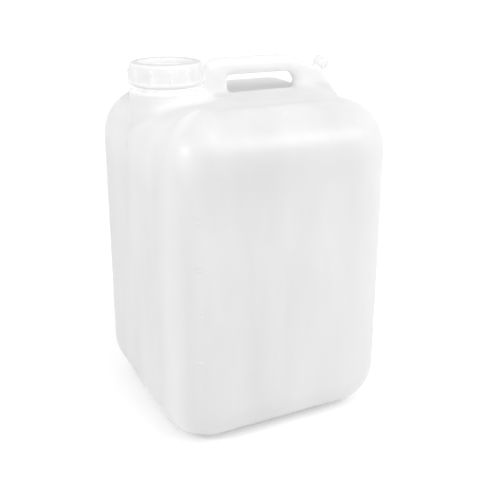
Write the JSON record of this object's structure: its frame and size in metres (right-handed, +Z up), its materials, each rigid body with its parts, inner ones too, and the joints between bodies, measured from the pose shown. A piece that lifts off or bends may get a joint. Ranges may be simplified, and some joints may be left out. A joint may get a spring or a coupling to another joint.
{
  "type": "square carboy",
  "caption": "Square blow-moulded plastic carboy with a carrying handle, an offset screw-capped neck and a small capped vent.",
  "frame": {"origin": "middle of the base, on the surface that the carboy stands on", "axes": "+Z up; the handle runs along X, with the neck towards -X and the vent towards +X; the mould parting plane is Y = 0"},
  "size_m": [0.257, 0.257, 0.3865],
  "materials": {
    "container_plastic": "translucent milky blow-moulded polyethylene, satin skin",
    "cap_plastic": "opaque white moulded polyethylene, satin to gloss",
    "vent_cap_plastic": "opaque white moulded polyethylene, satin to gloss",
    "liner_foam": "soft white expanded polyethylene foam"
  },
  "bodies": {
    "carboy": {"container": "container_plastic"},
    "cap_travel": {"cap_liner": "liner_foam"},
    "cap": {"screw_cap": "cap_plastic"},
    "vent_travel": {"vent_liner": "liner_foam"},
    "vent": {"vent_cap": "vent_cap_plastic"}
  },
  "joints": [
    {"name": "cap_lift", "type": "slide", "parent": "carboy", "child": "cap_travel", "axis": [0, 0, 1], "range_m": [0, 0.0195]},
    {"name": "cap_turn", "type": "hinge", "parent": "cap_travel", "child": "cap", "pos_m": [-0.0826, 0, 0.366], "axis": [0, 0, 1], "range_deg": [0, 1170]},
    {"name": "vent_lift", "type": "slide", "parent": "carboy", "child": "vent_travel", "axis": [0.6428, 0, 0.766], "range_m": [0, 0.00875]},
    {"name": "vent_turn", "type": "hinge", "parent": "vent_travel", "child": "vent", "pos_m": [0.098, 0, 0.36902], "axis": [0.6428, 0, 0.766], "range_deg": [0, 1260]}
  ],
  "couplings": [
    {"joint": "cap_turn", "follows": "cap_lift", "rad_per_m": 1047.2},
    {"joint": "vent_turn", "follows": "vent_lift", "rad_per_m": 2513.3}
  ]
}
